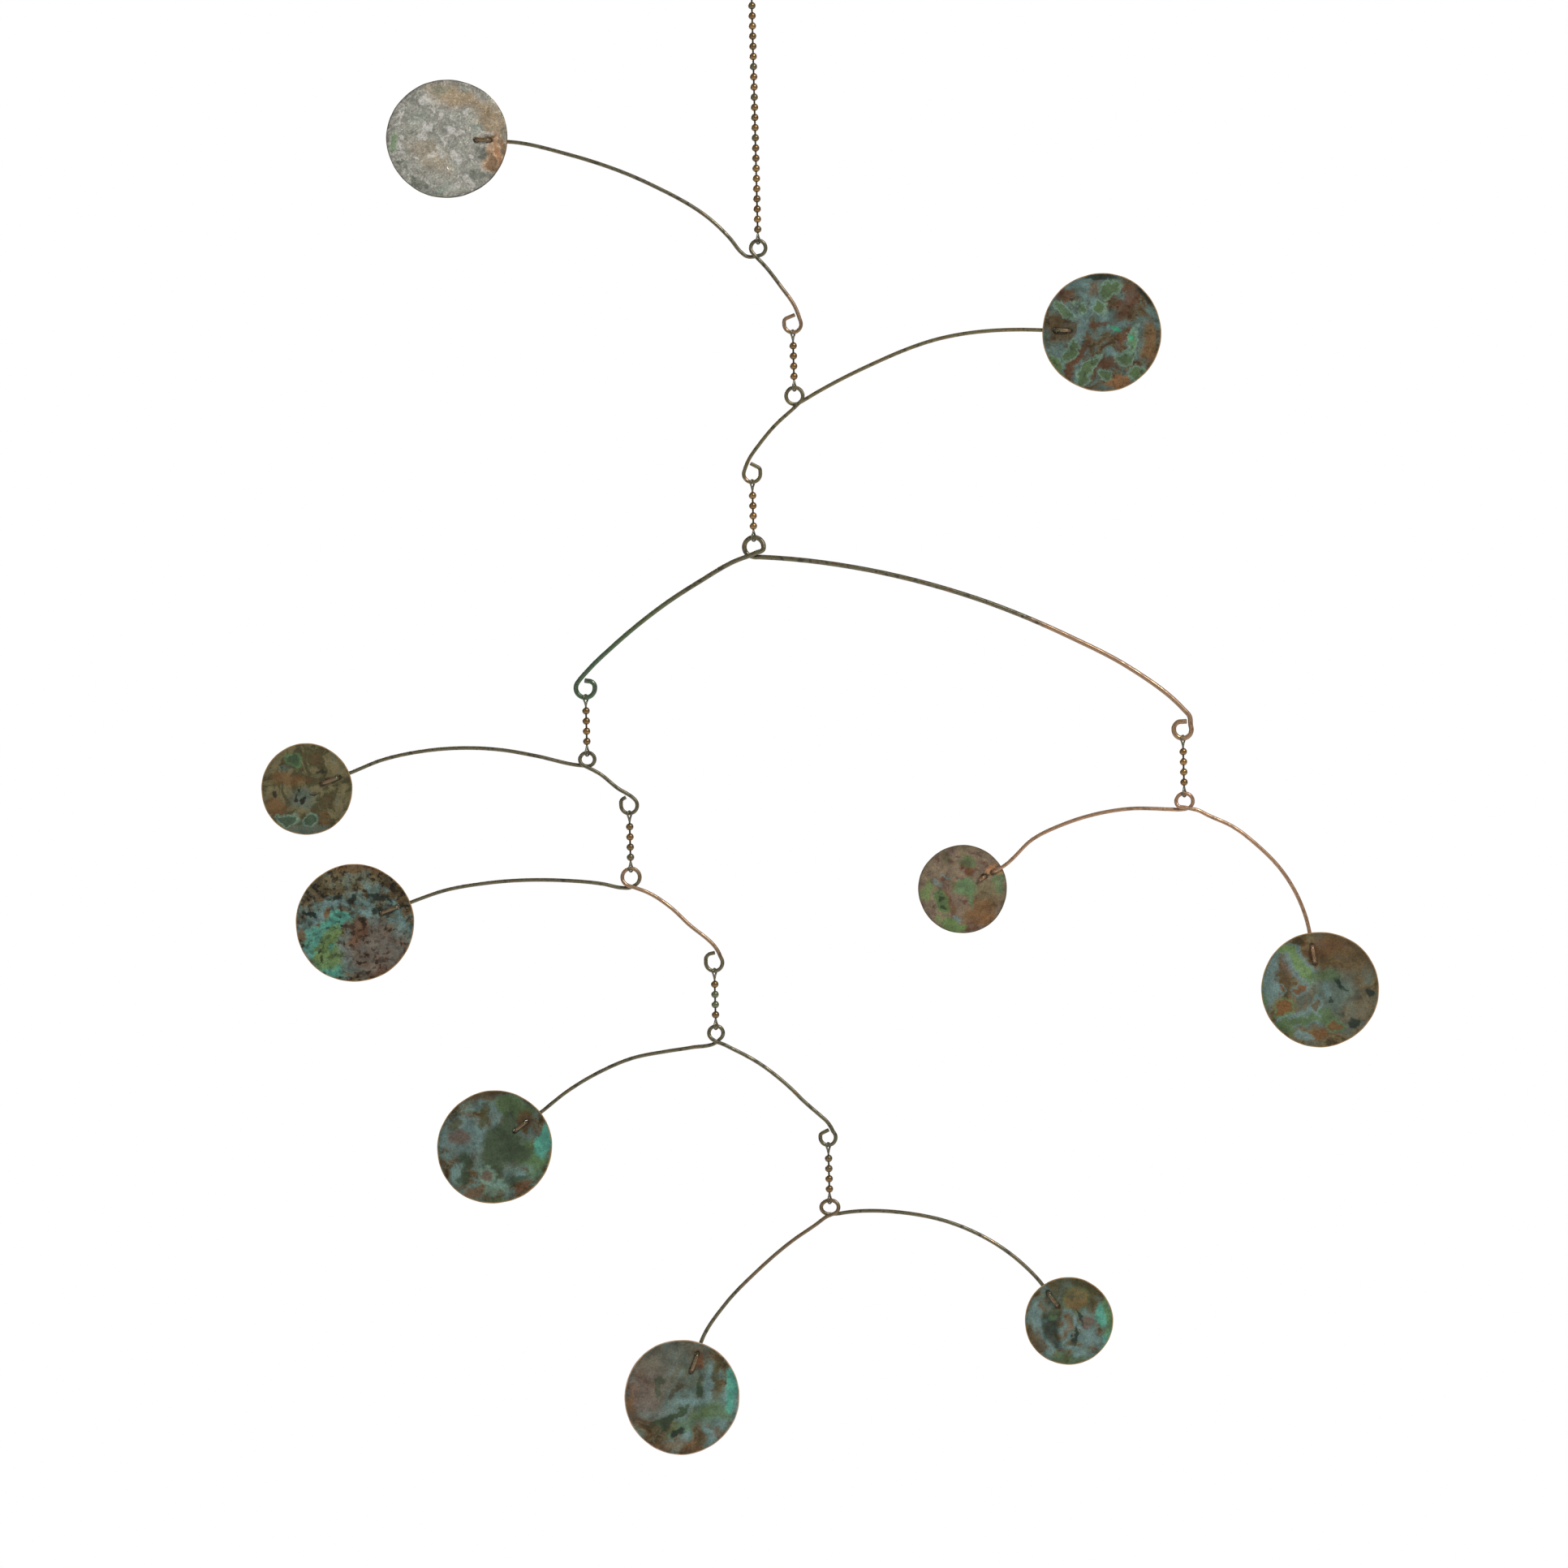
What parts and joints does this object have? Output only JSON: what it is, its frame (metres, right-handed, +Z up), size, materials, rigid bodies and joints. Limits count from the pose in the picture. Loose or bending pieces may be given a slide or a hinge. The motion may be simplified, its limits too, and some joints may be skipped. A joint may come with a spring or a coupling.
{
  "type": "hanging mobile sculpture",
  "caption": "Hanging mobile of round sheet copper discs with a mottled green and brown patina, on bent wire arms that are joined by short ball chains and turn freely.",
  "frame": {"origin": "middle of the hanging ring", "axes": "+Z up along the top chain; the arms hang in the XZ plane with the discs' fronts towards -Y"},
  "size_m": [0.4697, 0.0108, 0.6384],
  "materials": {
    "arm_wire": "brown patinated copper wire",
    "green_wire": "green patinated copper wire",
    "bright_wire": "light brown copper wire",
    "ball_chain": "worn copper plated beads",
    "tie_wire": "dull grey green wire",
    "top_arm_disc_patina": "silver grey hammered patina",
    "upper_arm_disc_patina": "grey teal patina with green islands",
    "left_arm_1_disc_patina": "olive brown patina",
    "left_arm_2_disc_patina": "pitted brown patina with a turquoise corner",
    "left_arm_3_disc_patina": "dark green and pale blue patina",
    "left_arm_4_large_disc_patina": "brown and grey teal patina",
    "left_arm_4_small_disc_patina": "olive and blue grey patina",
    "right_arm_small_disc_patina": "mauve brown patina with green patches",
    "right_arm_large_disc_patina": "brown patina with a turquoise and green swirl"
  },
  "bodies": {
    "hanger": {"hanging_ring": "arm_wire", "top_arm_upper_tie": "tie_wire"},
    "top_arm_body": {"top_arm_chain": "ball_chain", "top_arm_lower_tie": "tie_wire", "top_arm": "arm_wire", "top_arm_disc": "top_arm_disc_patina", "upper_arm_upper_tie": "tie_wire"},
    "upper_arm_body": {"upper_arm_chain": "ball_chain", "upper_arm_lower_tie": "tie_wire", "upper_arm": "arm_wire", "upper_arm_disc": "upper_arm_disc_patina", "main_arm_upper_tie": "tie_wire"},
    "main_arm_body": {"main_arm_chain": "ball_chain", "main_arm_lower_tie": "tie_wire", "main_arm": "green_wire", "left_arm_1_upper_tie": "tie_wire", "right_arm_upper_tie": "tie_wire"},
    "left_arm_1_body": {"left_arm_1_chain": "ball_chain", "left_arm_1_lower_tie": "tie_wire", "left_arm_1": "arm_wire", "left_arm_1_disc": "left_arm_1_disc_patina", "left_arm_2_upper_tie": "tie_wire"},
    "left_arm_2_body": {"left_arm_2_chain": "ball_chain", "left_arm_2_lower_tie": "tie_wire", "left_arm_2": "arm_wire", "left_arm_2_disc": "left_arm_2_disc_patina", "left_arm_3_upper_tie": "tie_wire"},
    "left_arm_3_body": {"left_arm_3_chain": "ball_chain", "left_arm_3_lower_tie": "tie_wire", "left_arm_3": "arm_wire", "left_arm_3_disc": "left_arm_3_disc_patina", "left_arm_4_upper_tie": "tie_wire"},
    "left_arm_4_body": {"left_arm_4_chain": "ball_chain", "left_arm_4_lower_tie": "tie_wire", "left_arm_4": "arm_wire", "left_arm_4_large_disc": "left_arm_4_large_disc_patina", "left_arm_4_small_disc": "left_arm_4_small_disc_patina"},
    "right_arm_body": {"right_arm_chain": "ball_chain", "right_arm_lower_tie": "tie_wire", "right_arm": "bright_wire", "right_arm_small_disc": "right_arm_small_disc_patina", "right_arm_large_disc": "right_arm_large_disc_patina"}
  },
  "joints": [
    {"name": "top_arm_swivel", "type": "hinge", "parent": "hanger", "child": "top_arm_body", "pos_m": [0, 0, -0.01102], "axis": [0, 0, 1], "continuous": true},
    {"name": "upper_arm_swivel", "type": "hinge", "parent": "top_arm_body", "child": "upper_arm_body", "pos_m": [0.0137, 0, -0.16386], "axis": [0, 0, 1], "continuous": true},
    {"name": "main_arm_swivel", "type": "hinge", "parent": "upper_arm_body", "child": "main_arm_body", "pos_m": [-0.0051, 0, -0.22671], "axis": [0, 0, 1], "continuous": true},
    {"name": "left_arm_1_swivel", "type": "hinge", "parent": "main_arm_body", "child": "left_arm_1_body", "pos_m": [-0.0779, 0, -0.31589], "axis": [0, 0, 1], "continuous": true},
    {"name": "left_arm_2_swivel", "type": "hinge", "parent": "left_arm_1_body", "child": "left_arm_2_body", "pos_m": [-0.0607, 0, -0.36536], "axis": [0, 0, 1], "range_deg": [-150, 150]},
    {"name": "left_arm_3_swivel", "type": "hinge", "parent": "left_arm_2_body", "child": "left_arm_3_body", "pos_m": [-0.0265, 0, -0.43288], "axis": [0, 0, 1], "continuous": true},
    {"name": "left_arm_4_swivel", "type": "hinge", "parent": "left_arm_3_body", "child": "left_arm_4_body", "pos_m": [0.0197, 0, -0.50777], "axis": [0, 0, 1], "continuous": true},
    {"name": "right_arm_swivel", "type": "hinge", "parent": "main_arm_body", "child": "right_arm_body", "pos_m": [0.1741, 0, -0.33974], "axis": [0, 0, 1], "continuous": true}
  ]
}
